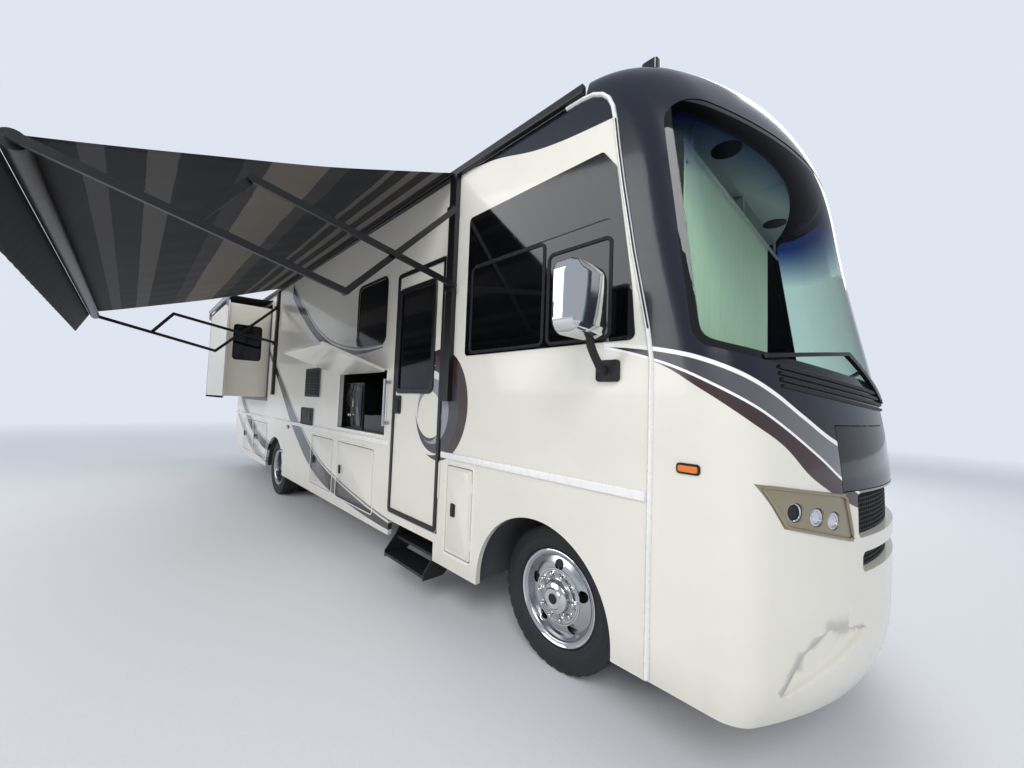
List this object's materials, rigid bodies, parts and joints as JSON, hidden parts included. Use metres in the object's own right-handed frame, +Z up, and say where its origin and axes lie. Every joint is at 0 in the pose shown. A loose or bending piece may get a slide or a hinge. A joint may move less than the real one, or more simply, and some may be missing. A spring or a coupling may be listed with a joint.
{
  "type": "motorhome",
  "caption": "Long coach-built motorhome with awning and slide-out room out, opening doors, storage bays, outside kitchen, hood, steered front wheels and twin rear wheels.",
  "frame": {"origin": "ground level below the middle of the whole object's length and width", "axes": "+X forwards, +Y to the street side, +Z up"},
  "size_m": [11.4077, 5.4248, 4.01],
  "materials": {
    "gloss_black": "gloss black gelcoat",
    "body_white": "gloss cream white",
    "roof_white": "white roof sheet",
    "tinted_glass": "dark tint",
    "clear_glass": "clear, dark frit border",
    "frame_black": "satin black",
    "door_white": "gloss cream white",
    "lamp_clear": "clear lens",
    "lamp_amber": "amber lens",
    "bezel": "champagne",
    "mesh_black": "matt",
    "chrome_trim": "bright",
    "tyre_black": "road tyre",
    "wheel_metal": "polished",
    "chassis_black": "satin black",
    "engine_grey": "plain",
    "tank_grey": "moulded",
    "floor_grey": "vinyl",
    "bay_grey": "moulded",
    "kitchen_steel": "brushed",
    "cloth_black": "acrylic cloth",
    "topper_cloth": "acrylic cloth",
    "curtain_cloth": "pale lining",
    "seat_cloth": "tan",
    "dash_dark": "textured",
    "rubber_black": "moulded",
    "alloy_bright": "satin"
  },
  "bodies": {
    "coach": {"awning_arms": "frame_black", "awning_cloth": "cloth_black", "awning_rails": "frame_black", "awning_roller": "frame_black", "body_fittings": "alloy_bright", "cab_curtain": "curtain_cloth", "cab_seats": "seat_cloth", "chassis_frame": "chassis_black", "dashboard": "dash_dark", "engine_block": "engine_grey", "floor": "floor_grey", "front_axle": "chassis_black", "front_cap": "gloss_black", "grille": "mesh_black", "headlamp_bezels": "bezel", "headlamps": "lamp_clear", "kitchen_bay": "kitchen_steel", "marker_lamps": "lamp_amber", "mirrors": "chrome_trim", "rear_axle": "chassis_black", "rear_cap": "body_white", "roof": "roof_white", "roof_units": "roof_white", "side_glass": "tinted_glass", "side_wall_kerb": "body_white", "side_wall_street": "body_white", "skirt_kerb": "body_white", "skirt_street": "body_white", "tanks": "tank_grey", "wells_and_bins": "bay_grey", "window_frames": "frame_black", "windshield": "clear_glass", "wipers": "rubber_black"},
    "steering_kerb": {"knuckle_kerb": "chassis_black"},
    "front_wheel_kerb": {"front_rim_kerb": "wheel_metal", "front_tyre_kerb": "tyre_black"},
    "rear_wheels_kerb": {"rear_rims_kerb": "wheel_metal", "rear_tyres_kerb": "tyre_black"},
    "steering_street": {"knuckle_street": "chassis_black"},
    "front_wheel_street": {"front_rim_street": "wheel_metal", "front_tyre_street": "tyre_black"},
    "rear_wheels_street": {"rear_rims_street": "wheel_metal", "rear_tyres_street": "tyre_black"},
    "entry_door": {"entry_door": "door_white", "entry_door_glass": "tinted_glass"},
    "bay_door_kerb_1": {"bay_door_kerb_1": "body_white"},
    "bay_door_kerb_2": {"bay_door_kerb_2": "body_white"},
    "bay_door_kerb_3": {"bay_door_kerb_3": "body_white"},
    "bay_door_kerb_4": {"bay_door_kerb_4": "body_white"},
    "bay_door_kerb_5": {"bay_door_kerb_5": "body_white"},
    "bay_door_street_1": {"bay_door_street_1": "body_white"},
    "bay_door_street_2": {"bay_door_street_2": "body_white"},
    "kitchen_hatch": {"kitchen_hatch": "door_white"},
    "hood": {"hood": "gloss_black"},
    "slide_out": {"slide_room": "body_white", "slide_glass": "tinted_glass", "topper_roller": "alloy_bright", "topper_cloth": "topper_cloth"},
    "entry_step": {"entry_step": "chassis_black"}
  },
  "joints": [
    {"name": "steer_kerb", "type": "hinge", "parent": "coach", "child": "steering_kerb", "pos_m": [4.1065, 0.2274, 0.4695], "axis": [0, 0, 1], "range_deg": [-35, 35]},
    {"name": "front_wheel_spin_kerb", "type": "hinge", "parent": "steering_kerb", "child": "front_wheel_kerb", "pos_m": [4.1065, 0.0764, 0.4695], "axis": [0, 1, 0], "continuous": true},
    {"name": "rear_wheels_spin_kerb", "type": "hinge", "parent": "coach", "child": "rear_wheels_kerb", "pos_m": [-2.0405, 0.0894, 0.4695], "axis": [0, 1, 0], "continuous": true},
    {"name": "steer_street", "type": "hinge", "parent": "coach", "child": "steering_street", "pos_m": [4.1065, 1.7874, 0.4695], "axis": [0, 0, 1], "range_deg": [-35, 35]},
    {"name": "front_wheel_spin_street", "type": "hinge", "parent": "steering_street", "child": "front_wheel_street", "pos_m": [4.1065, 1.9384, 0.4695], "axis": [0, 1, 0], "continuous": true},
    {"name": "rear_wheels_spin_street", "type": "hinge", "parent": "coach", "child": "rear_wheels_street", "pos_m": [-2.0405, 1.9254, 0.4695], "axis": [0, 1, 0], "continuous": true},
    {"name": "entry_door_hinge", "type": "hinge", "parent": "coach", "child": "entry_door", "pos_m": [3.0415, -0.2749, 1.8], "axis": [0, 0, 1], "range_deg": [0, 90]},
    {"name": "bay_door_kerb_1_hinge", "type": "hinge", "parent": "coach", "child": "bay_door_kerb_1", "pos_m": [3.4815, -0.2749, 0.893], "axis": [0, 0, 1], "range_deg": [0, 90]},
    {"name": "bay_door_kerb_2_hinge", "type": "hinge", "parent": "coach", "child": "bay_door_kerb_2", "pos_m": [1.8315, -0.2749, 0.878], "axis": [0, 0, 1], "range_deg": [0, 90]},
    {"name": "bay_door_kerb_3_hinge", "type": "hinge", "parent": "coach", "child": "bay_door_kerb_3", "pos_m": [0.6815, -0.2749, 0.878], "axis": [0, 0, 1], "range_deg": [0, 90]},
    {"name": "bay_door_kerb_4_hinge", "type": "hinge", "parent": "coach", "child": "bay_door_kerb_4", "pos_m": [-2.6285, -0.2749, 0.878], "axis": [0, 0, 1], "range_deg": [0, 90]},
    {"name": "bay_door_kerb_5_hinge", "type": "hinge", "parent": "coach", "child": "bay_door_kerb_5", "pos_m": [-3.8485, -0.2749, 0.878], "axis": [0, 0, 1], "range_deg": [0, 90]},
    {"name": "bay_door_street_1_hinge", "type": "hinge", "parent": "coach", "child": "bay_door_street_1", "pos_m": [2.0215, 2.2897, 0.878], "axis": [0, 0, -1], "range_deg": [0, 90]},
    {"name": "bay_door_street_2_hinge", "type": "hinge", "parent": "coach", "child": "bay_door_street_2", "pos_m": [-3.2785, 2.2897, 0.878], "axis": [0, 0, -1], "range_deg": [0, 90]},
    {"name": "kitchen_hatch_hinge", "type": "hinge", "parent": "coach", "child": "kitchen_hatch", "pos_m": [1.4115, -0.2749, 2.055], "axis": [1, 0, 0], "range_deg": [0, 108]},
    {"name": "hood_hinge", "type": "hinge", "parent": "coach", "child": "hood", "pos_m": [5.7065, 1.0074, 1.702], "axis": [0, -1, 0], "range_deg": [0, 60]},
    {"name": "slide_out_travel", "type": "slide", "parent": "coach", "child": "slide_out", "axis": [0, 1, 0], "range_m": [0, 0.648], "deforming": ["topper_cloth"]},
    {"name": "entry_step_travel", "type": "slide", "parent": "coach", "child": "entry_step", "axis": [0, 1, 0], "range_m": [0, 0.2]}
  ],
  "couplings": [
    {"joint": "steer_street", "follows": "steer_kerb", "ratio": 1}
  ]
}
